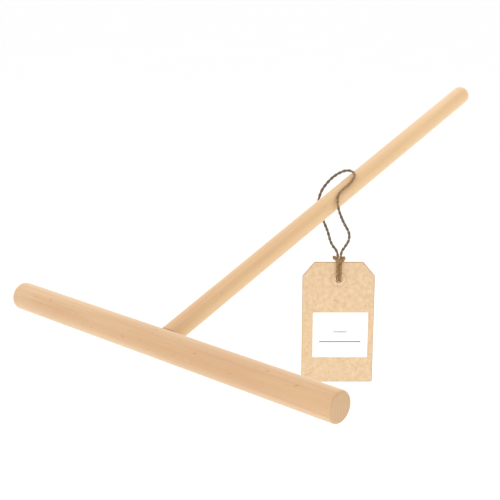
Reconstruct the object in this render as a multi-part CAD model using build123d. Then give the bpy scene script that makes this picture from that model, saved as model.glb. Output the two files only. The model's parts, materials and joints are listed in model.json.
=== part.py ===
from build123d import *
import os
from math import cos, pi, radians, sin, tan

# A T-shaped batter spreader, held up by its handle: a round beech crossbar, a thinner round
# handle glued square into a blind mortise at its middle, and a card swing tag that hangs from
# the handle on a hitched loop of jute twine.
#
# Frame: millimetres, +Z up. The origin is on the handle's axis, at the middle of the stretch
# that a hand holds. +X runs along the crossbar, and the handle rises towards +Y.

# Crossbar and handle
bar_length = 180.0
bar_diameter = 12.0
bar_edge_radius = 1.0
handle_diameter = 8.5
handle_reach = 220.0        # from the crossbar's axis to the tip of the handle's dome
handle_rise = 21.1          # degrees above level
mortise_depth = 8.0         # from the crossbar's surface to the mortise's flat bottom
glue_gap = 0.05             # all round the handle in its mortise
grip_from_bar = 172.0       # from the crossbar's axis to the origin
grip_length = 80.0

# Swing tag, seen upright with its printed side to the front
tag_from_bar = 116.8        # along the handle, to the point that the tag hangs under
tag_drop = 31.3             # from the handle's axis down to the tag's top edge
tag_turn = 43.7             # degrees from the crossbar's direction, about the vertical
tag_width = 33.0
tag_height = 58.0
tag_thickness = 0.6
corner_across = 5.4         # the two cut corners at the top
corner_down = 6.5
corner_softening = 0.8      # rounds what the cuts leave
hole_diameter = 3.2
hole_from_top = 8.2
patch_diameter = 7.0        # the rings that reinforce the hole
patch_thickness = 0.12
label_width = 25.4
label_height = 21.8
label_from_top = 24.0
label_from_left = 5.0
label_corner = 0.6
label_thickness = 0.12

# Twine
twine_diameter = 1.3
twine_gap = 0.08            # between the twine and the card, and between two turns of twine
arc_share = 0.45            # how much of the shorter run an arc takes up

# What follows from them
along_handle = Vector(0, cos(radians(handle_rise)), sin(radians(handle_rise)))
bar_centre = along_handle * -grip_from_bar
tag_top = bar_centre + along_handle * tag_from_bar - Vector(0, 0, tag_drop)
held_tool = Location(bar_centre, (handle_rise, 0, 0))
hung_tag = Location(tag_top, (0, 0, tag_turn))
hole_height = -hole_from_top
turn_pitch = twine_diameter + twine_gap
flat_on_card = tag_thickness / 2 + patch_thickness + turn_pitch - twine_diameter / 2


def crossbar():
    # a dowel along X with eased ends, and the mortise's mouth towards the handle
    dowel = Rot(0, 90, 0) * Cylinder(bar_diameter / 2, bar_length)
    dowel = fillet(dowel.edges().filter_by(GeomType.CIRCLE), bar_edge_radius)
    floor = bar_diameter / 2 - mortise_depth
    mortise = Cylinder(
        handle_diameter / 2 + glue_gap, bar_diameter, align=(Align.CENTER, Align.CENTER, Align.MIN)
    )
    return held_tool * (dowel - Pos(0, floor, 0) * Rot(-90, 0, 0) * mortise)


def handle():
    # a dowel that stands on the mortise's floor and ends in a half round tip
    floor = bar_diameter / 2 - mortise_depth
    radius = handle_diameter / 2
    dome_start = handle_reach - radius
    shank = Cylinder(radius, dome_start - floor, align=(Align.CENTER, Align.CENTER, Align.MIN))
    dowel = Pos(0, floor, 0) * Rot(-90, 0, 0) * shank + Pos(0, dome_start, 0) * Sphere(radius)
    return held_tool * dowel


def sheet(outline, front, thickness):
    # a flat outline drawn in the tag's own upright plane, made solid away from the front
    upright = Plane(origin=(0, front, 0), x_dir=(1, 0, 0), z_dir=(0, -1, 0))
    return extrude(upright * outline, -thickness)


def tag_hole():
    return Pos(0, hole_height) * Circle(hole_diameter / 2)


def tag_card():
    half = tag_width / 2
    corners = [
        (-half, -tag_height),
        (half, -tag_height),
        (half, -corner_down),
        (half - corner_across, 0),
        (corner_across - half, 0),
        (-half, -corner_down),
    ]
    outline = make_face(Polyline(*corners, close=True))
    outline = fillet(outline.vertices(), corner_softening)
    return hung_tag * sheet(outline - tag_hole(), -tag_thickness / 2, tag_thickness)


def hole_patch(front):
    ring = Pos(0, hole_height) * Circle(patch_diameter / 2) - tag_hole()
    return hung_tag * sheet(ring, front, patch_thickness)


def label():
    middle = Pos(
        label_from_left + label_width / 2 - tag_width / 2, -label_from_top - label_height / 2
    )
    outline = middle * RectangleRounded(label_width, label_height, label_corner)
    return hung_tag * sheet(outline, -tag_thickness / 2 - label_thickness, label_thickness)


# The twine's route, in the tag's own frame: X right, Y away from the front, Z up, with the
# origin at the middle of the tag's top edge. It starts where the hitch crosses the front,
# goes over the top edge, down the back, through the hole and up the front, climbs behind the
# handle, lies over it, comes down its front and goes back the same way on the right.
cross_front = -flat_on_card - turn_pitch
route = [
    (-2.35, cross_front, 0.35),
    (-2.60, -0.10, 1.45),
    (-1.05, flat_on_card, 0.80),
    (-0.75, flat_on_card + 0.25, hole_height + 0.25),
    (-0.75, -flat_on_card - 0.25, hole_height + 0.25),
    (-1.15, -flat_on_card, 4.4),
    (-3.95, -2.2, 8.5),
    (-5.5, -3.5, 14.9),
    (-7.5, -5.9, 19.8),
    (-10.2, -2.2, 26.4),
    (-9.2, -0.5, 32.5),
    (-4.3, 2.2, 38.2),
    (1.1, 6.1, 40.7),
    (5.0, 6.7, 41.0),
    (7.0, 3.8, 39.5),
    (4.6, -0.3, 36.6),
    (0.6, -4.2, 34.5),
    (-1.8, -7.6, 32.6),
    (-2.0, -10.1, 29.4),
    (-1.4, -10.9, 26.0),
    (1.2, -8.0, 19.7),
    (3.7, -6.0, 15.5),
    (4.1, -4.0, 11.3),
    (2.1, -2.4, 6.9),
    (0.95, -flat_on_card, 4.2),
    (0.75, -flat_on_card - 0.25, hole_height + 0.25),
    (0.75, flat_on_card + 0.25, hole_height + 0.25),
    (1.05, flat_on_card, 0.75),
    (2.45, -0.10, 1.40),
    (2.20, cross_front, 0.25),
]
# Where one stretch of twine ends and the next begins: the point before, and how far along
# the run that follows it.
cuts = {
    "left back": (2, 0.30),
    "left front": (4, 0.78),
    "left side": (8, 0.50),
    "right side": (18, 0.50),
    "right front": (24, 0.21),
    "right back": (26, 0.70),
}


def corner_radii(points):
    # each arc is as large as its two runs allow
    radii = []
    for before, corner, after in zip(points, points[1:], points[2:]):
        first, second = corner - before, after - corner
        half_turn = radians(first.get_angle(second) / 2)
        radii.append(arc_share * min(first.length, second.length) / tan(half_turn))
    return radii


def tube(points, radii):
    path = FilletPolyline(*points, radius=radii)
    section = Plane(origin=path @ 0, z_dir=path % 0) * Circle(twine_diameter / 2)
    return hung_tag * sweep(section, path), path.length


def twine_stretches():
    # the hitch runs through the route's start, so the list is turned to begin behind the tag
    points = [Vector(*p) for p in route]
    ring = points + points
    radii = corner_radii([points[-1]] + ring + [points[0]])
    stretches = {
        "twine_left_leg": ("left back", "left front"),
        "twine_left_strand": ("left front", "left side"),
        "twine_saddle": ("left side", "right side"),
        "twine_right_strand": ("right side", "right front"),
        "twine_right_leg": ("right front", "right back"),
        "twine_hitch": ("right back", "left back"),
    }
    made = {}
    for node, (start, end) in stretches.items():
        (first, first_share), (last, last_share) = cuts[start], cuts[end]
        last += len(points) if last < first else 0
        start_point = ring[first] + (ring[first + 1] - ring[first]) * first_share
        end_point = ring[last] + (ring[last + 1] - ring[last]) * last_share
        corners, arcs = ring[first + 1:last + 1], radii[first + 1:last + 1]
        made[node], length = tube([start_point, *corners, end_point], arcs)
        ideal = length * pi * (twine_diameter / 2) ** 2
        print(node, "length", round(length, 2), "volume share", round(made[node].volume / ideal, 4))
        print("  radii", [round(r, 2) for r in arcs])
    return made


def main():
    back = tag_thickness / 2
    nodes = {
        "crossbar": crossbar(),
        "handle": handle(),
        "tag_card": tag_card(),
        "hole_patch_front": hole_patch(-back - patch_thickness),
        "hole_patch_back": hole_patch(back),
        "label_sticker": label(),
        **twine_stretches(),
    }
    os.makedirs("parts", exist_ok=True)
    for node, solid in nodes.items():
        export_step(solid, f"parts/{node}.step")
    print("tag's top edge, middle", tag_top)
    print("handle's axis above the tag", tag_top + Vector(0, 0, tag_drop))
    print("crossbar's centre", bar_centre, "grip length", grip_length)


main()
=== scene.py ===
import json
import math
import random

import bmesh
import bpy
from mathutils import Matrix, Vector, kdtree, noise


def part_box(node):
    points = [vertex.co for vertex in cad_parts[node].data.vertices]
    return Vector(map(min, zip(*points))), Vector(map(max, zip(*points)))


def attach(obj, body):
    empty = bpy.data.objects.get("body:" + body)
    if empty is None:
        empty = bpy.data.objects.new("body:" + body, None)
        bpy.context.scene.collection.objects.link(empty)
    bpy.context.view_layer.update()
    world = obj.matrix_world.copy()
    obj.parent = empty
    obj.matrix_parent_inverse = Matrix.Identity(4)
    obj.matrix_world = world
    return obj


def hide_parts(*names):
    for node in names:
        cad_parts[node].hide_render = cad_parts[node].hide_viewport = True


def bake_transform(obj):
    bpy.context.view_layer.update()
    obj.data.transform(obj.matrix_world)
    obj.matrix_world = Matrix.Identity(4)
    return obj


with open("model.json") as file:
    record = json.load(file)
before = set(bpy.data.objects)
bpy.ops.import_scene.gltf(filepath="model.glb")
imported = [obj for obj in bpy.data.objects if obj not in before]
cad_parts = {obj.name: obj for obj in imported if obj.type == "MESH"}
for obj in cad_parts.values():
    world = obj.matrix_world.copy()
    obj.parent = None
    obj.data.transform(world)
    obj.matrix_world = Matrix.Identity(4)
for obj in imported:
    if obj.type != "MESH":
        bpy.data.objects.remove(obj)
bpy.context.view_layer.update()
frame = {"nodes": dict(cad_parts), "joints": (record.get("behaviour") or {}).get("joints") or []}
nodes = frame["nodes"]
joints = {joint["name"]: joint for joint in frame["joints"]}
scene = bpy.context.scene
print("frame loaded:", len(nodes), "nodes")

# the tag's own frame: X across the card, Y away from its front, Z up, origin on its top edge
upright = Vector((0, 0, 1))
tagAcross = Vector(joints["tag_flap"]["axis"]).normalized()
tagAway = upright.cross(tagAcross)
loopHang = Vector(joints["tag_swing"]["pos_m"])
tagTop = Vector((loopHang.x, loopHang.y, joints["tag_spin"]["pos_m"][2]))
tagFrame = Matrix.Translation(tagTop) @ Matrix((tagAcross, tagAway, upright)).transposed().to_4x4()
tagTurn = math.atan2(tagAcross.y, tagAcross.x)
handleLine = Vector(joints["tag_slide"]["axis"]).normalized()
handleRise = math.atan2(handleLine.z, handleLine.y)


studio = {
    "cameraTurn": 43.7,          # degrees round the upright from straight on to the crossbar
    "cameraTilt": 15.1,          # degrees down from level
    "cameraPlace": (0.30423, -0.42831, 0.08464),
    "lens": 79.56,
    "floorHeight": -0.42,
    "floorSize": 16.0,
    "floorColour": (254, 254, 254),
    "floorPatches": (255, 255, 255),
    "skyColour": (255, 255, 255),
    "skyStrength": 1.0,
    "lamps": [                   # name, place, aim, size, power, colour
        ("keyLamp", (-0.55, -0.85, 1.35), (0, -0.06, -0.04), 0.8, 4.2, (255, 250, 242)),
        ("fillLamp", (0.70, -0.80, -0.36), (0, -0.06, -0.04), 0.7, 2.8, (255, 252, 248)),
        ("backLamp", (-0.35, 1.00, 1.15), (0, -0.02, -0.02), 0.8, 6.5, (255, 253, 250)),
    ],
}


def paint(red, green, blue):
    # a colour as a paint chart gives it, made linear for the shaders
    shares = [level / 255 for level in (red, green, blue)]
    return [s / 12.92 if s <= 0.04045 else ((s + 0.055) / 1.055) ** 2.4 for s in shares] + [1.0]


def aimAt(item, place, target):
    item.location = Vector(place)
    item.rotation_euler = (Vector(target) - Vector(place)).to_track_quat("-Z", "Y").to_euler()


def setUpCamera():
    lensData = bpy.data.cameras.new("productCamera")
    lensData.lens = studio["lens"]
    lensData.sensor_width = 36
    lensData.clip_start, lensData.clip_end = 0.01, 60
    camera = bpy.data.objects.new("productCamera", lensData)
    scene.collection.objects.link(camera)
    camera.location = studio["cameraPlace"]
    tilt, turn = math.radians(90 - studio["cameraTilt"]), math.radians(studio["cameraTurn"])
    camera.rotation_euler = (tilt, 0, turn)
    scene.camera = camera


def setUpLight():
    for name, place, target, size, power, colour in studio["lamps"]:
        lamp = bpy.data.lights.new(name, "AREA")
        lamp.shape = "DISK"
        lamp.size = size
        lamp.energy = power
        lamp.color = paint(*colour)[:3]
        holder = bpy.data.objects.new(name, lamp)
        holder.visible_camera = False
        scene.collection.objects.link(holder)
        aimAt(holder, place, target)
    sky = bpy.data.worlds.new("paleStudio")
    sky.use_nodes = True
    backdrop = sky.node_tree.nodes["Background"]
    backdrop.inputs["Color"].default_value = paint(*studio["skyColour"])
    backdrop.inputs["Strength"].default_value = studio["skyStrength"]
    scene.world = sky
    scene.view_settings.view_transform = "Standard"
    scene.view_settings.look = "None"


def addNode(tree, kind, inputs=None, **settings):
    node = tree.nodes.new(kind)
    for name, value in settings.items():
        setattr(node, name, value)
    for name, value in (inputs or {}).items():
        if isinstance(value, bpy.types.NodeSocket):
            tree.links.new(value, node.inputs[name])
        else:
            node.inputs[name].default_value = value
    return node


def stretch(tree, vector, scale, location=(0, 0, 0), rotation=(0, 0, 0)):
    inputs = {"Vector": vector, "Scale": scale, "Location": location, "Rotation": rotation}
    return addNode(tree, "ShaderNodeMapping", inputs).outputs["Vector"]


def turnFacing(tree, normal, rotation):
    # the way a surface faces, turned with its coordinates
    inputs = {"Vector": normal, "Rotation": rotation}
    return addNode(tree, "ShaderNodeMapping", inputs, vector_type="VECTOR").outputs["Vector"]


def cloud(tree, vector, scale, detail=2.0, roughness=0.5, distortion=0.0):
    inputs = {
        "Vector": vector, "Scale": scale,
        "Detail": detail, "Roughness": roughness, "Distortion": distortion,
    }
    return addNode(tree, "ShaderNodeTexNoise", inputs).outputs["Fac"]


def cells(tree, vector, scale):
    inputs = {"Vector": vector, "Scale": scale, "Randomness": 1.0}
    return addNode(tree, "ShaderNodeTexVoronoi", inputs).outputs


def axis(tree, vector, name):
    return addNode(tree, "ShaderNodeSeparateXYZ", {"Vector": vector}).outputs[name]


def channel(tree, colour, name):
    return addNode(tree, "ShaderNodeSeparateColor", {"Color": colour}).outputs[name]


def vectorSums(tree, operation, inputs):
    return addNode(tree, "ShaderNodeVectorMath", inputs, operation=operation).outputs["Value"]


def spread(tree, value, low, high, newLow=0.0, newHigh=1.0):
    # from one range to another, eased at both ends
    inputs = {
        "Value": value, "From Min": low, "From Max": high, "To Min": newLow, "To Max": newHigh,
    }
    node = addNode(tree, "ShaderNodeMapRange", inputs, interpolation_type="SMOOTHSTEP")
    return node.outputs["Result"]


def sums(tree, operation, first, second=0.0, third=0.0):
    inputs = {0: first, 1: second, 2: third}
    return addNode(tree, "ShaderNodeMath", inputs, operation=operation).outputs["Value"]


def blendColour(tree, share, first, second):
    inputs = {0: share, 6: first, 7: second}
    return addNode(tree, "ShaderNodeMix", inputs, data_type="RGBA", blend_type="MIX").outputs[2]


def coat(tree, colour, tones, layers):
    # one tone after another over a colour, each by its own share
    for share, tone in layers:
        colour = blendColour(tree, share, colour, paint(*tones[tone]))
    return colour


def newGroup(name, inputs, outputs):
    group = bpy.data.node_groups.new(name, "ShaderNodeTree")
    for socket, kind, value in inputs:
        made = group.interface.new_socket(socket, in_out="INPUT", socket_type=kind)
        if value is not None:
            made.default_value = value
    for socket, kind in outputs:
        group.interface.new_socket(socket, in_out="OUTPUT", socket_type=kind)
    given = group.nodes.new("NodeGroupInput").outputs
    result = group.nodes.new("NodeGroupOutput").inputs
    return group, given, result


def useGroup(tree, group, inputs):
    return addNode(tree, "ShaderNodeGroup", inputs, node_tree=group).outputs


def newMaterial(name):
    material = bpy.data.materials.new(name)
    material.use_nodes = True
    tree = material.node_tree
    return material, tree, tree.nodes["Principled BSDF"]


def relief(tree, shader, height, depth, strength):
    inputs = {"Height": height, "Distance": depth, "Strength": strength}
    bump = addNode(tree, "ShaderNodeBump", inputs)
    tree.links.new(bump.outputs["Normal"], shader.inputs["Normal"])


beech = {
    "pale": (210, 174, 132),
    "mid": (202, 162, 120),
    "pink": (200, 153, 115),
    "lateWood": (184, 138, 98),
    "fleck": (150, 104, 68),
    "endGrain": (196, 162, 123),
    # paler towards the handle's far end, and painted light from below on its lower side
    "paleEndAndUnderLight": (226, 190, 142),
    "underLightSide": (0.60, 0.29, -0.74),   # the way that the handle's side with painted light from below faces
    # glue and painted shade in the corner where the handle meets the bar
    "jointGlueAndShade": (128, 88, 48),
    "sheen": (255, 244, 222),
    "ringWidth": 0.0016,
    "slowScale": 85,                  # how small each pattern is, as repeats in a metre
    "broadScale": 640,
    "fineScale": 3600,
    "rayScale": 1350,
    "poreScale": 4200,
    "sawnScale": 2300,
    "grainDepth": 0.00005,
    "barHeart": (0, -0.041, 0.004),   # where the middle of the log lies
    "handleHeart": (0.4, 0.052, 0.018),
    "barFlecks": 0.62,
    "handleFlecks": 0.6,
    "jointGlueShadeAmount": 0.6,
    "paleEndAndUnderLightShare": 0.8,
}


def buildBeechGrain():
    # a solid pattern with its grain along X, so that ends and sides belong together
    group, given, result = newGroup(
        "beechGrain",
        [
            ("Vector", "NodeSocketVector", None),
            ("Facing", "NodeSocketVector", None),
            ("Fleck Amount", "NodeSocketFloat", 0.6),
        ],
        [
            ("Color", "NodeSocketColor"),
            ("Roughness", "NodeSocketFloat"),
            ("Height", "NodeSocketFloat"),
        ],
    )
    place = given["Vector"]
    slow = cloud(group, stretch(group, place, (0.16, 1, 1)), beech["slowScale"], 2.0)
    broad = cloud(group, stretch(group, place, (0.035, 1, 1)), beech["broadScale"], 3.0, 0.55)
    fine = cloud(group, stretch(group, place, (0.022, 1, 1)), beech["fineScale"], 4.0, 0.65)
    waveLength = 2 * math.pi / 20     # of the ring pattern at a scale of one
    rings = addNode(
        group, "ShaderNodeTexWave",
        {
            "Vector": stretch(group, place, (0.05, 1, 1)),
            "Scale": waveLength / beech["ringWidth"],
            "Distortion": 1.9,
            "Detail": 3.0,
            "Detail Scale": 1.1,
        },
        wave_type="RINGS", rings_direction="X", wave_profile="SIN",
    ).outputs["Fac"]
    rings = spread(group, rings, 0.55, 1.0)
    # rays: lens shapes, long with the grain and deep towards the heart
    rays = cells(group, stretch(group, place, (0.15, 0.42, 1)), beech["rayScale"])
    chosen = spread(group, channel(group, rays["Color"], "Red"), 0.74, 0.92)
    fleck = sums(group, "MULTIPLY", spread(group, rays["Distance"], 0.27, 0.09), chosen)
    pores = cells(group, stretch(group, place, (0.12, 1, 1)), beech["poreScale"])["Distance"]
    pores = spread(group, pores, 0.24, 0.06)

    colour = coat(group, paint(*beech["pale"]), beech, [
        (spread(group, slow, 0.34, 0.66), "mid"),
        (spread(group, broad, 0.45, 0.75, 0.0, 0.75), "pink"),
        (sums(group, "MULTIPLY", rings, 0.17), "lateWood"),
        (spread(group, fine, 0.50, 0.80, 0.0, 0.34), "lateWood"),
        (spread(group, fine, 0.48, 0.25, 0.0, 0.35), "pale"),
        (sums(group, "MULTIPLY", fleck, given["Fleck Amount"]), "fleck"),
        (sums(group, "MULTIPLY", pores, 0.22), "fleck"),
    ])

    # where the surface faces along the grain, its open ends show
    along = axis(group, given["Facing"], "X")
    ends = spread(group, sums(group, "ABSOLUTE", along), 0.55, 0.95)
    sawn = cloud(group, stretch(group, place, (1, 1, 0.05)), beech["sawnScale"], 3.0, 0.6)
    endTone = coat(group, paint(*beech["endGrain"]), beech, [
        (spread(group, sawn, 0.35, 0.7, 0.0, 0.55), "lateWood"),
        (sums(group, "MULTIPLY", rings, 0.40), "lateWood"),
        (sums(group, "MULTIPLY", fleck, 0.35), "fleck"),
    ])
    colour = blendColour(group, sums(group, "MULTIPLY", ends, 0.85), colour, endTone)

    height = sums(group, "MULTIPLY_ADD", fine, 0.7, sums(group, "MULTIPLY", fleck, -0.5))
    height = sums(group, "MULTIPLY_ADD", pores, -0.35, height)
    height = sums(group, "MULTIPLY_ADD", sums(group, "MULTIPLY", sawn, ends), 0.8, height)
    group.links.new(colour, result["Color"])
    group.links.new(sums(group, "MULTIPLY_ADD", fine, 0.16, 0.50), result["Roughness"])
    group.links.new(height, result["Height"])
    return group


def makeBeech(name, grain, rotation, location, fleckAmount, jointGlueShadeAmount=0.0, paleEndAndUnderLight=0.0):
    material, tree, shader = newMaterial(name)
    spot = addNode(tree, "ShaderNodeTexCoord").outputs
    place = stretch(tree, spot["Object"], (1, 1, 1), location, rotation)
    facing = turnFacing(tree, spot["Normal"], rotation)
    inputs = {"Vector": place, "Facing": facing, "Fleck Amount": fleckAmount}
    wood = useGroup(tree, grain, inputs)
    colour = wood["Color"]
    if paleEndAndUnderLight:
        # paler towards the far end, and painted light from below on the handle's lower side
        start = location[0]
        far = spread(tree, axis(tree, place, "X"), start - 0.20, start - 0.02, 0.1, 0.6 * paleEndAndUnderLight)
        paintedUnderLight = vectorSums(tree, "DOT_PRODUCT", {0: spot["Object"], 1: beech["underLightSide"]})
        paintedUnderLight = spread(tree, paintedUnderLight, -0.002, 0.002, 0.0, paleEndAndUnderLight)
        colour = coat(tree, colour, beech, [(sums(tree, "MAXIMUM", far, paintedUnderLight), "paleEndAndUnderLight")])
    if jointGlueShadeAmount:
        # glue and painted shade in the corner where the handle enters the bar
        low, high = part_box("crossbar")
        middle = (0, -(low[1] + high[1]) / 2, -(low[2] + high[2]) / 2)
        away = vectorSums(tree, "LENGTH", {0: stretch(tree, spot["Object"], (0, 1, 1), middle)})
        barRadius = (high[2] - low[2]) / 2
        corner = spread(tree, away, barRadius + 0.0009, barRadius + 0.0001, 0.0, jointGlueShadeAmount)
        colour = coat(tree, colour, beech, [(corner, "jointGlueAndShade")])
    tree.links.new(colour, shader.inputs["Base Color"])
    tree.links.new(wood["Roughness"], shader.inputs["Roughness"])
    relief(tree, shader, wood["Height"], beech["grainDepth"], 0.6)
    shader.inputs["Specular IOR Level"].default_value = 0.42
    shader.inputs["Sheen Weight"].default_value = 0.8
    shader.inputs["Sheen Roughness"].default_value = 0.45
    shader.inputs["Sheen Tint"].default_value = paint(*beech["sheen"])
    return material


def buildPaperFibre():
    # pulp: soft clouds, and short winding fibres both darker and paler than the sheet
    group, given, result = newGroup(
        "paperFibre",
        [
            ("Vector", "NodeSocketVector", None),
            ("Cloud Size", "NodeSocketFloat", 0.004),
            ("Fibre Size", "NodeSocketFloat", 0.0011),
        ],
        [
            ("Clouds", "NodeSocketFloat"),
            ("Dark Fibres", "NodeSocketFloat"),
            ("Pale Fibres", "NodeSocketFloat"),
            ("Specks", "NodeSocketFloat"),
            ("Height", "NodeSocketFloat"),
        ],
    )
    place = given["Vector"]
    perCloud = sums(group, "DIVIDE", 1.0, given["Cloud Size"])
    perFibre = sums(group, "DIVIDE", 1.0, given["Fibre Size"])
    clouds = cloud(group, place, perCloud, 6.0, 0.62)

    def fibres(offset, size, breakSize, low, high):
        shifted = stretch(group, place, (1, 1, 1), (offset, offset * 0.7, -offset))
        winding = cloud(group, shifted, sums(group, "MULTIPLY", perFibre, size), 1.0, 0.4, 0.6)
        offMiddle = sums(group, "ABSOLUTE", sums(group, "SUBTRACT", winding, 0.5))
        line = spread(group, offMiddle, 0.028, 0.006)
        broken = cloud(group, shifted, sums(group, "MULTIPLY", perFibre, breakSize), 1.0)
        return sums(group, "MULTIPLY", line, spread(group, broken, low, high))

    dark = fibres(0.031, 0.8, 1.7, 0.54, 0.66)
    pale = fibres(-0.047, 1.0, 1.9, 0.50, 0.64)
    grit = cells(group, place, sums(group, "MULTIPLY", perFibre, 1.1))
    rare = spread(group, channel(group, grit["Color"], "Green"), 0.78, 0.9)
    specks = sums(group, "MULTIPLY", spread(group, grit["Distance"], 0.16, 0.06), rare)
    tooth = cloud(group, place, sums(group, "MULTIPLY", perFibre, 5.0), 3.0, 0.6)
    height = sums(group, "MULTIPLY_ADD", pale, 0.5, tooth)
    height = sums(group, "MULTIPLY_ADD", clouds, 0.8, height)
    made = {
        "Clouds": clouds, "Dark Fibres": dark, "Pale Fibres": pale,
        "Specks": specks, "Height": height,
    }
    for socket, value in made.items():
        group.links.new(value, result[socket])
    return group


def tagCoordinates(tree):
    # the card's own coordinates and the way its surface faces in them
    spot = addNode(tree, "ShaderNodeTexCoord").outputs
    turned = (0, 0, -tagTurn)
    origin = Matrix.Rotation(-tagTurn, 3, "Z") @ tagTop
    place = stretch(tree, spot["Object"], (1, 1, 1), -origin, turned)
    facing = turnFacing(tree, spot["Normal"], turned)
    return place, facing


card = {
    "width": 0.0330,
    "height": 0.0580,
    "cutAcross": 0.0054,         # the two cut corners
    "cutDown": 0.0065,
    "holeDown": 0.0082,
    "ringRadius": 0.0035,
    "wornShadedRimWidth": 0.00045,         # how far in from its edge the sheet is darkened, by handling wear and painted shade
}

papers = {
    "kraftCard": {
        "pale": (227, 201, 166), "mid": (219, 190, 153), "deep": (207, 175, 137),
        "darkFibre": (166, 129, 91), "paleFibre": (236, 214, 182), "edgeToneAndShade": (146, 110, 74),
        "cloudSize": 0.0022, "fibreSize": 0.0009,
        "fibreAmount": 0.55, "speckAmount": 0.6,
        "depth": 0.00004, "roughness": 0.82, "wornShadedRimAmount": 0.5,
    },
    "ringPaper": {
        "pale": (229, 203, 168), "mid": (222, 194, 157), "deep": (211, 181, 143),
        "darkFibre": (170, 135, 98), "paleFibre": (237, 216, 185), "edgeToneAndShade": (150, 114, 78),
        "cloudSize": 0.0026, "fibreSize": 0.0008,
        "fibreAmount": 0.45, "speckAmount": 0.4,
        "depth": 0.00003, "roughness": 0.85, "wornShadedRimAmount": 0.42,
    },
    "stickerPaper": {
        "pale": (252, 252, 251), "mid": (249, 249, 247), "deep": (243, 243, 240),
        "darkFibre": (232, 231, 227), "paleFibre": (255, 255, 255), "edgeToneAndShade": (236, 234, 228),
        "cloudSize": 0.0050, "fibreSize": 0.0006,
        "fibreAmount": 0.35, "speckAmount": 0.0,
        "depth": 0.000015, "roughness": 0.62,
    },
}


def nearOutline(tree, place):
    # how far a point of the card lies outside its outline: nothing at the edge, less inside
    spotX, spotZ = axis(tree, place, "X"), axis(tree, place, "Z")
    across = sums(tree, "SUBTRACT", sums(tree, "ABSOLUTE", spotX), card["width"] / 2)
    below = sums(tree, "SUBTRACT", sums(tree, "MULTIPLY", spotZ, -1), card["height"])
    slope = math.hypot(card["cutAcross"], card["cutDown"])
    cut = sums(tree, "MULTIPLY", across, card["cutDown"] / slope)
    fromCut = sums(tree, "ADD", spotZ, card["cutDown"])
    cut = sums(tree, "MULTIPLY_ADD", fromCut, card["cutAcross"] / slope, cut)
    straight = sums(tree, "MAXIMUM", across, below)
    return sums(tree, "MAXIMUM", straight, sums(tree, "MAXIMUM", cut, spotZ))


def nearRing(tree, place):
    # the same for the round hole ring
    fromHole = stretch(tree, place, (1, 0, 1), (0, 0, card["holeDown"]))
    return sums(tree, "SUBTRACT", vectorSums(tree, "LENGTH", {0: fromHole}), card["ringRadius"])


def makePaper(name, fibre, outline=None):
    look = papers[name]
    material, tree, shader = newMaterial(name)
    place, facing = tagCoordinates(tree)
    sizes = {"Cloud Size": look["cloudSize"], "Fibre Size": look["fibreSize"]}
    pulp = useGroup(tree, fibre, {"Vector": place, **sizes})
    # the cut sides are darker than the faces
    frontal = sums(tree, "ABSOLUTE", axis(tree, facing, "Y"))
    side = spread(tree, frontal, 0.75, 0.35)
    layers = [
        (spread(tree, pulp["Clouds"], 0.30, 0.52), "mid"),
        (spread(tree, pulp["Clouds"], 0.50, 0.74), "deep"),
        (sums(tree, "MULTIPLY", pulp["Dark Fibres"], look["fibreAmount"]), "darkFibre"),
        (sums(tree, "MULTIPLY", pulp["Pale Fibres"], look["fibreAmount"]), "paleFibre"),
        (sums(tree, "MULTIPLY", pulp["Specks"], look["speckAmount"]), "darkFibre"),
        (sums(tree, "MULTIPLY", side, 0.85), "edgeToneAndShade"),
    ]
    # a darker band along the outline: handling wear and painted shade at the edge
    if outline:
        inner, outer = -card["wornShadedRimWidth"], -card["wornShadedRimWidth"] * 0.15
        rim = spread(tree, outline(tree, place), inner, outer, 0.0, look["wornShadedRimAmount"])
        layers.append((rim, "edgeToneAndShade"))
    colour = coat(tree, paint(*look["pale"]), look, layers)
    tree.links.new(colour, shader.inputs["Base Color"])
    rough = sums(tree, "MULTIPLY_ADD", pulp["Clouds"], 0.14, look["roughness"] - 0.07)
    tree.links.new(rough, shader.inputs["Roughness"])
    relief(tree, shader, pulp["Height"], look["depth"], 0.7)
    shader.inputs["Specular IOR Level"].default_value = 0.3
    return material


twine = {
    "diameter": 0.0013,
    "plyRadius": 0.00042,
    "plyOffset": 0.00024,
    "turnLength": 0.0048,
    "plyTwist": 0.0033,
    "unevenness": 0.10,
    "step": 0.00018,
    "sides": 3,
    "strayFibres": 150,
    "fibreRadius": 0.000014,
    "fibreLength": (0.0008, 0.0026),
    "fibreRoom": 0.0022,              # no stray fibre ends farther from the twine's middle
    "loopFibres": 0.55,               # the share of the stray fibres on each stretch
    "hitchFibres": 0.45,
    "fibreScale": 9000,               # how small each pattern is, as repeats in a metre
    "patchScale": 300,
    "fibreDepth": 0.00005,
    "grooveShade": 0.45,
    "goldFull": 0.0015,               # golden up to here over the tag's top edge
    "goldFade": 0.006,
    "handleGold": 0.6,                # how golden it is near the handle
    "handleNear": 0.0075,             # from the handle's middle
    "handleFade": 0.002,
    "dark": (44, 34, 22),
    "mid": (94, 77, 54),
    "pale": (190, 170, 138),
    "goldDark": (60, 36, 14),
    "goldMid": (158, 116, 64),
    "goldPale": (226, 192, 136),
}

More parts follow.
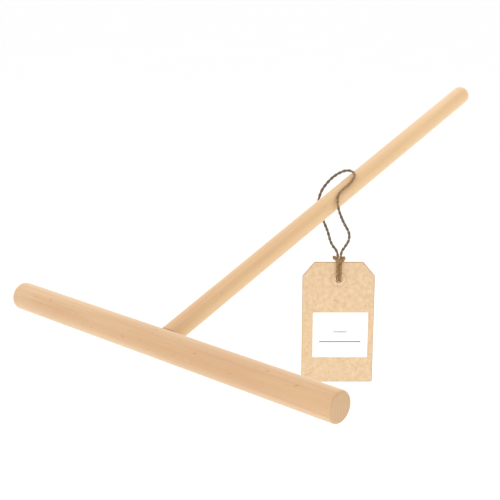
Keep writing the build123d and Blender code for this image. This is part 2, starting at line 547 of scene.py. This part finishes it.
# the twine's way round, in the tag's own frame and in metres: from the top of the loop down
# the right side, through the tag's hole and up its back, across the front of both strands,
# down the back again, through the hole and up the left side
twineRoute = [
    (0.0060, 0.00525, 0.04025),
    (0.0070, 0.0038, 0.0395),
    (0.0046, -0.0003, 0.0366),
    (0.0006, -0.0042, 0.0345),
    (-0.0018, -0.0076, 0.0326),
    (-0.0020, -0.0101, 0.0294),
    (-0.0014, -0.0109, 0.0260),
    (0.0012, -0.0080, 0.0197),
    (0.0037, -0.0060, 0.0155),
    (0.0041, -0.0040, 0.0113),
    (0.0021, -0.0024, 0.0074),
    (0.00068, -0.00122, 0.0049),
    (0.00068, -0.00112, -0.0004),
    (0.00068, -0.0015, -0.0052),
    (0.00066, -0.00192, -0.00893),
    (0.00066, 0.00192, -0.00893),
    (0.0008, 0.00155, -0.0052),
    (0.0008, 0.00125, -0.0013),
    (0.00092, 0.00172, 0.00105),
    (0.0022, 0.00122, 0.0020),
    (0.00252, -0.00085, 0.00195),
    (0.0017, -0.00285, 0.0013),
    (-0.0017, -0.00285, 0.0016),
    (-0.00252, -0.00085, 0.0022),
    (-0.0022, 0.00122, 0.0022),
    (-0.00092, 0.00172, 0.00105),
    (-0.0008, 0.00125, -0.0013),
    (-0.0008, 0.00155, -0.0052),
    (-0.00066, 0.00192, -0.00893),
    (-0.00066, -0.00192, -0.00893),
    (-0.00068, -0.0015, -0.0052),
    (-0.00068, -0.00112, -0.0004),
    (-0.00068, -0.00122, 0.0050),
    (-0.00395, -0.0022, 0.0089),
    (-0.0055, -0.0035, 0.0149),
    (-0.0075, -0.0059, 0.0198),
    (-0.0102, -0.0022, 0.0264),
    (-0.0092, -0.0005, 0.0325),
    (-0.0043, 0.0022, 0.0382),
    (0.0011, 0.0061, 0.0407),
    (0.0050, 0.0067, 0.0410),
    (0.0060, 0.00525, 0.04025),
]
legTop = 0.0036                       # over the tag's top edge, where loop and hitch meet


def curveThrough(points, name, kind, depth=0.0, sides=0, widths=None):
    line = bpy.data.curves.new(name, "CURVE")
    line.dimensions = "3D"
    line.bevel_depth = depth
    line.bevel_resolution = sides
    line.use_fill_caps = depth > 0
    line.resolution_u = 48
    for strand in points:
        spline = line.splines.new(kind)
        spline.points.add(len(strand) - 1)
        for i, (point, place) in enumerate(zip(spline.points, strand)):
            point.co = (*place, 1)
            if widths:
                point.radius = widths(i, strand)
        if kind == "NURBS":
            spline.order_u = 3
            spline.use_endpoint_u = True
    return line


def meshFromCurve(line):
    holder = bpy.data.objects.new(line.name, line)
    scene.collection.objects.link(holder)
    made = bpy.data.meshes.new_from_object(holder)
    bpy.data.objects.remove(holder)
    return made


def walkTwine():
    # even steps along the smooth route, each with its length so far and an untwisted frame
    route = [tagFrame @ Vector(point) for point in twineRoute]
    bare = meshFromCurve(curveThrough([route], "twineRoute", "NURBS"))
    rough = [v.co.copy() for v in bare.vertices]
    spans = [0.0]
    for before, after in zip(rough, rough[1:]):
        spans.append(spans[-1] + (after - before).length)
    count = round(spans[-1] / twine["step"])
    steps, at = [], 0
    for i in range(count + 1):
        goal = min(spans[-1] * i / count, spans[-1])
        while at < len(spans) - 2 and spans[at + 1] < goal:
            at += 1
        share = (goal - spans[at]) / max(spans[at + 1] - spans[at], 1e-12)
        steps.append(rough[at].lerp(rough[at + 1], share))
    tangents = []
    for i in range(count + 1):
        tangents.append((steps[min(i + 1, count)] - steps[max(i - 1, 0)]).normalized())
    tangents[0] = tangents[-1] = (tangents[0] + tangents[-1]).normalized()
    side = tangents[0].orthogonal().normalized()
    sides = [side]
    for before, after in zip(tangents, tangents[1:]):
        side = (before.rotation_difference(after) @ side).normalized()
        sides.append(side)
    # the plies have to meet themselves where the route closes
    off = sides[0].cross(tangents[0]).dot(sides[-1])
    slip = math.atan2(-off, sides[0].dot(sides[-1]))
    turns = round(spans[-1] / twine["turnLength"]) * 2 * math.pi - slip
    walk = []
    for i, (place, tangent, side) in enumerate(zip(steps, tangents, sides)):
        walk.append({
            "place": place,
            "along": spans[-1] * i / count,
            "tangent": tangent,
            "side": side,
            "other": tangent.cross(side),
            "twist": turns * i / count,
        })
    return walk


def fromRing(spot, angle, reach):
    outward = spot["side"] * math.cos(angle) + spot["other"] * math.sin(angle)
    return spot["place"] + outward * reach


def plyWidth(i, strand):
    slow, quick = noise.noise(strand[i] * 420), noise.noise(strand[i] * 1500)
    return 1 + twine["unevenness"] * slow + 0.5 * twine["unevenness"] * quick


def growFibres(stretchOfTwine, count, seed):
    # stray hairs that leave the twine's surface at a slant and curl
    dice = random.Random(seed)
    hairs = []
    for _ in range(count):
        spot = stretchOfTwine[dice.randrange(3, len(stretchOfTwine) - 3)]
        angle = dice.uniform(0, 2 * math.pi)
        outward = (fromRing(spot, angle, 1) - spot["place"]).normalized()
        point = fromRing(spot, angle, twine["diameter"] * 0.42)
        forward = spot["tangent"] * dice.choice((-1, 1))
        heading = (forward + outward * dice.uniform(0.25, 0.9)).normalized()
        curl = Vector([dice.uniform(-1, 1) for _ in range(3)]) * 0.55
        reach = dice.uniform(*twine["fibreLength"])
        hair = [point.copy()]
        for _ in range(5):
            point = point + heading * reach / 5
            sway = Vector([dice.uniform(-0.2, 0.2) for _ in range(3)])
            heading = (heading + curl * 0.35 + sway).normalized()
            hair.append(point.copy())
        if max((p - spot["place"]).length for p in hair) < twine["fibreRoom"]:
            hairs.append(hair)
    return hairs


def hairWidth(i, strand):
    return 1 - 0.75 * i / (len(strand) - 1)


def makeTwine(name, stretchOfTwine, hairCount, seed, material):
    shape = bmesh.new()
    for turn in (0, math.pi):
        ply = [fromRing(spot, spot["twist"] + turn, twine["plyOffset"]) for spot in stretchOfTwine]
        line = curveThrough([ply], name, "POLY", twine["plyRadius"], twine["sides"], plyWidth)
        shape.from_mesh(meshFromCurve(line))
    hairs = growFibres(stretchOfTwine, hairCount, seed)
    line = curveThrough(hairs, name, "POLY", twine["fibreRadius"], 0, hairWidth)
    shape.from_mesh(meshFromCurve(line))
    bmesh.ops.remove_doubles(shape, verts=shape.verts, dist=1e-7)
    bmesh.ops.recalc_face_normals(shape, faces=shape.faces)
    mesh = bpy.data.meshes.new(name)
    shape.to_mesh(mesh)
    shape.free()
    mesh.shade_smooth()
    layTwineCoordinates(mesh, stretchOfTwine)
    mesh.materials.append(material)
    piece = bpy.data.objects.new(name, mesh)
    scene.collection.objects.link(piece)
    return piece


def clamp(value):
    return min(1.0, max(0.0, value))


def layTwineCoordinates(mesh, stretchOfTwine):
    # each point's place in the straightened, untwisted ply, how far it stands out of the
    # groove, and how golden it is: all of it on the card, and partly near the handle
    tree = kdtree.KDTree(len(stretchOfTwine))
    for i, spot in enumerate(stretchOfTwine):
        tree.insert(spot["place"], i)
    tree.balance()
    toTag = tagFrame.inverted()
    lie, groove, gold = [], [], []
    for vertex in mesh.vertices:
        spot = stretchOfTwine[tree.find(vertex.co)[1]]
        out = vertex.co - spot["place"]
        along = spot["along"] + out.dot(spot["tangent"])
        flat = Vector((out.dot(spot["side"]), out.dot(spot["other"])))
        flat = Matrix.Rotation(-spot["twist"], 2) @ flat
        ply = 1 if flat.x > 0 else -1
        flat = flat - Vector((ply * twine["plyOffset"], 0))
        flat = Matrix.Rotation(-2 * math.pi * along / twine["plyTwist"], 2) @ flat
        lie += [along + ply, flat.x, flat.y]
        groove.append(min(1.0, out.length / (twine["diameter"] / 2)))
        height = (toTag @ spot["place"]).z
        fromHandle = spot["place"].cross(handleLine).length
        onHandle = twine["handleGold"] * clamp(
            (twine["handleNear"] - fromHandle) / twine["handleFade"]
        )
        onTag = 1 - clamp((height - twine["goldFull"]) / twine["goldFade"])
        gold.append(max(onHandle, onTag))
    layers = [
        ("plyLie", "FLOAT_VECTOR", lie, "vector"),
        ("groove", "FLOAT", groove, "value"),
        ("gold", "FLOAT", gold, "value"),
    ]
    for layer, kind, values, key in layers:
        mesh.attributes.new(layer, kind, "POINT").data.foreach_set(key, values)


def makeJute():
    material, tree, shader = newMaterial("juteTwine")

    def reads(layer, socket):
        settings = {"attribute_name": layer, "attribute_type": "GEOMETRY"}
        return addNode(tree, "ShaderNodeAttribute", **settings).outputs[socket]

    lie, groove, gold = reads("plyLie", "Vector"), reads("groove", "Fac"), reads("gold", "Fac")
    fibre = cloud(tree, stretch(tree, lie, (0.035, 1, 1)), twine["fibreScale"], 3.0, 0.6)
    patch = cloud(tree, stretch(tree, lie, (1, 3, 3)), twine["patchScale"], 3.0, 0.6)
    tones = []
    for dark, mid, pale in (("dark", "mid", "pale"), ("goldDark", "goldMid", "goldPale")):
        tone = coat(tree, paint(*twine[dark]), twine, [
            (spread(tree, fibre, 0.28, 0.52), mid),
            (spread(tree, fibre, 0.50, 0.74), pale),
            (spread(tree, patch, 0.52, 0.72, 0.0, 0.55), pale),
            (spread(tree, patch, 0.46, 0.28, 0.0, 0.55), dark),
        ])
        # painted shade in the grooves between the plies, darker towards the twine's middle
        shade = paint(*[level * twine["grooveShade"] for level in twine[dark]])
        grooveShadeShare = spread(tree, groove, 0.80, 0.35, 0.0, 0.92)
        tones.append(blendColour(tree, grooveShadeShare, tone, shade))
    colour = blendColour(tree, gold, tones[0], tones[1])
    tree.links.new(colour, shader.inputs["Base Color"])
    tree.links.new(sums(tree, "MULTIPLY_ADD", fibre, -0.2, 0.9), shader.inputs["Roughness"])
    relief(tree, shader, fibre, twine["fibreDepth"], 0.9)
    shader.inputs["Specular IOR Level"].default_value = 0.28
    shader.inputs["Sheen Weight"].default_value = 0.2
    shader.inputs["Sheen Roughness"].default_value = 0.6
    return material


def hangTwine():
    walk = walkTwine()
    heights = [(tagFrame.inverted() @ spot["place"]).z for spot in walk]
    down = next(i for i, height in enumerate(heights) if height < legTop)
    rise = max(i for i, height in enumerate(heights) if height < legTop) + 1
    loopStretch = walk[rise:-1] + walk[:down + 1]
    hitchStretch = walk[down:rise + 1]
    jute = makeJute()
    loopHairs = round(twine["strayFibres"] * twine["loopFibres"])
    hitchHairs = round(twine["strayFibres"] * twine["hitchFibres"])
    loop = makeTwine("twineLoop", loopStretch, loopHairs, 4, jute)
    hitch = makeTwine("twineHitch", hitchStretch, hitchHairs, 9, jute)
    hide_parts("twine_saddle", "twine_left_strand", "twine_right_strand")
    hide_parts("twine_hitch", "twine_left_leg", "twine_right_leg")

    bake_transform(loop)
    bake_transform(hitch)


# plain rules on the sticker, where a name would stand
ruledLines = {
    "depth": 0.00002,
    "ink": (58, 56, 54),
    "thinInk": (150, 148, 145),
    "cardHalf": 0.0003,
    "stickerThickness": 0.00012,
    "rules": [                   # middle across, height, length, thickness, in the tag's frame
        (0.0011, -0.0382, 0.0190, 0.00042),
        (0.0011, -0.0334, 0.0062, 0.00034),
    ],
}


def printRules():
    shape = bmesh.new()
    front = -ruledLines["cardHalf"] - ruledLines["stickerThickness"]
    for middle, height, length, thickness in ruledLines["rules"]:
        size = Matrix.Diagonal((length, ruledLines["depth"], thickness, 1))
        place = Matrix.Translation((middle, front, height)) @ size
        bmesh.ops.create_cube(shape, size=1, matrix=tagFrame @ place)
    mesh = bpy.data.meshes.new("stickerRules")
    shape.to_mesh(mesh)
    shape.free()
    material, tree, shader = newMaterial("printInk")
    place, _ = tagCoordinates(tree)
    thin = cloud(tree, place, 5200, 4.0, 0.7)
    worn = [(spread(tree, thin, 0.62, 0.80, 0.0, 0.6), "thinInk")]
    colour = coat(tree, paint(*ruledLines["ink"]), ruledLines, worn)
    tree.links.new(colour, shader.inputs["Base Color"])
    tree.links.new(sums(tree, "MULTIPLY_ADD", thin, 0.2, 0.5), shader.inputs["Roughness"])
    mesh.materials.append(material)
    piece = bpy.data.objects.new("stickerRules", mesh)
    scene.collection.objects.link(piece)
    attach(piece, "tag")


def layFloor():
    shape = bmesh.new()
    level = Matrix.Translation((0, 0, studio["floorHeight"]))
    size = studio["floorSize"]
    bmesh.ops.create_grid(shape, x_segments=1, y_segments=1, size=size, matrix=level)
    mesh = bpy.data.meshes.new("studioFloor")
    shape.to_mesh(mesh)
    shape.free()
    material, tree, shader = newMaterial("paleFloor")
    place = addNode(tree, "ShaderNodeTexCoord").outputs["Object"]
    patches = [(spread(tree, cloud(tree, place, 3.0, 3.0), 0.3, 0.7, 0.0, 0.4), "floorPatches")]
    colour = coat(tree, paint(*studio["floorColour"]), studio, patches)
    tree.links.new(colour, shader.inputs["Base Color"])
    shader.inputs["Roughness"].default_value = 0.9
    mesh.materials.append(material)
    floor = bpy.data.objects.new("studioFloor", mesh)
    scene.collection.objects.link(floor)


def cover(material, *names):
    for name in names:
        slots = nodes[name].material_slots
        if not slots:
            nodes[name].data.materials.append(material)
        for holder in slots:
            holder.material = material


setUpCamera()
setUpLight()
layFloor()
print("camera, lamps and floor are in place")

hangTwine()
print("twine hung on the handle")

grain = buildBeechGrain()
# bar and handle are cut from different planks, and the handle's grain runs along its slope
low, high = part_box("crossbar")
barHeart = Vector(beech["barHeart"]) - (low + high) / 2
cover(makeBeech("beechBar", grain, (0, 0, 0), barHeart, beech["barFlecks"]), "crossbar")
handleTurn = (-handleRise, 0, -math.pi / 2)
handleWood = makeBeech(
    "beechHandle", grain, handleTurn, beech["handleHeart"],
    beech["handleFlecks"], beech["jointGlueShadeAmount"], beech["paleEndAndUnderLightShare"],
)
cover(handleWood, "handle")
print("wood finished")

pulp = buildPaperFibre()
cover(makePaper("kraftCard", pulp, nearOutline), "tag_card")
cover(makePaper("ringPaper", pulp, nearRing), "hole_patch_front", "hole_patch_back")
cover(makePaper("stickerPaper", pulp), "label_sticker")
printRules()
print("card, rings and sticker finished")
